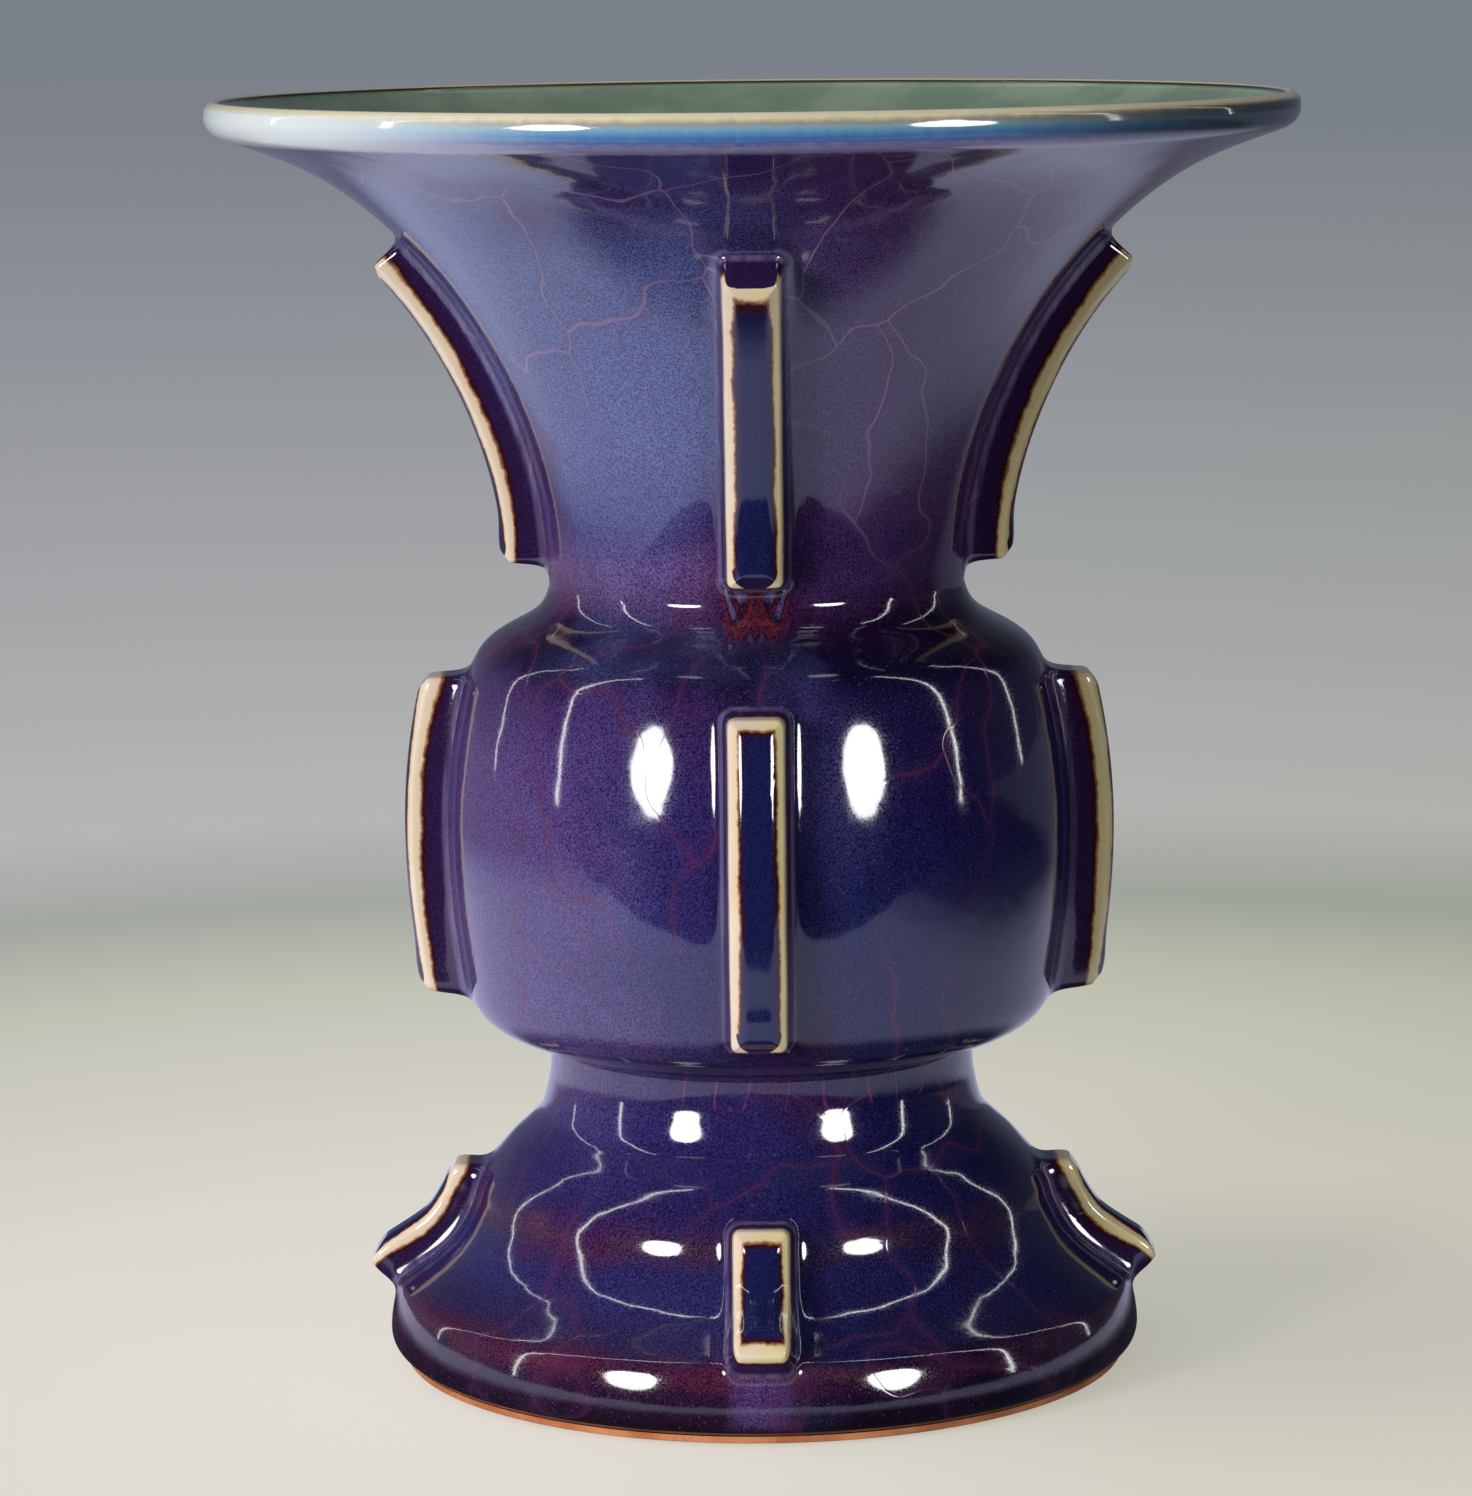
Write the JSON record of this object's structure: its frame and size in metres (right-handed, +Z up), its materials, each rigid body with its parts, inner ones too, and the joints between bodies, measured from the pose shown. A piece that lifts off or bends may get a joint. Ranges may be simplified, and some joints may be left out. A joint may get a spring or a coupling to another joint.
{
  "type": "flanged zun vase",
  "caption": "Glazed stoneware vase with a trumpet neck, a drum belly and a flared hollow foot, joined from thrown sections with applied upright flanges; it holds flowers or stands on display.",
  "frame": {"origin": "middle of the foot, on the surface that the vase stands on", "axes": "+Z up along the axis of the vase; the flanges lie towards -Y, the front, and towards +X, +Y and -X"},
  "size_m": [0.262, 0.262, 0.309],
  "materials": {
    "section_glaze": "thick glossy purple to lilac-blue glaze, fine pale speckle, branching pink lines",
    "flange_glaze": "glossy glaze that has run thin and cream at the edges, and pools dark on the faces"
  },
  "bodies": {
    "root": {"foot_section": "section_glaze", "belly_section": "section_glaze", "neck_section": "section_glaze", "foot_flange_front": "flange_glaze", "foot_flange_right": "flange_glaze", "foot_flange_back": "flange_glaze", "foot_flange_left": "flange_glaze", "belly_flange_front": "flange_glaze", "belly_flange_right": "flange_glaze", "belly_flange_back": "flange_glaze", "belly_flange_left": "flange_glaze", "neck_flange_front": "flange_glaze", "neck_flange_right": "flange_glaze", "neck_flange_back": "flange_glaze", "neck_flange_left": "flange_glaze"}
  },
  "joints": []
}
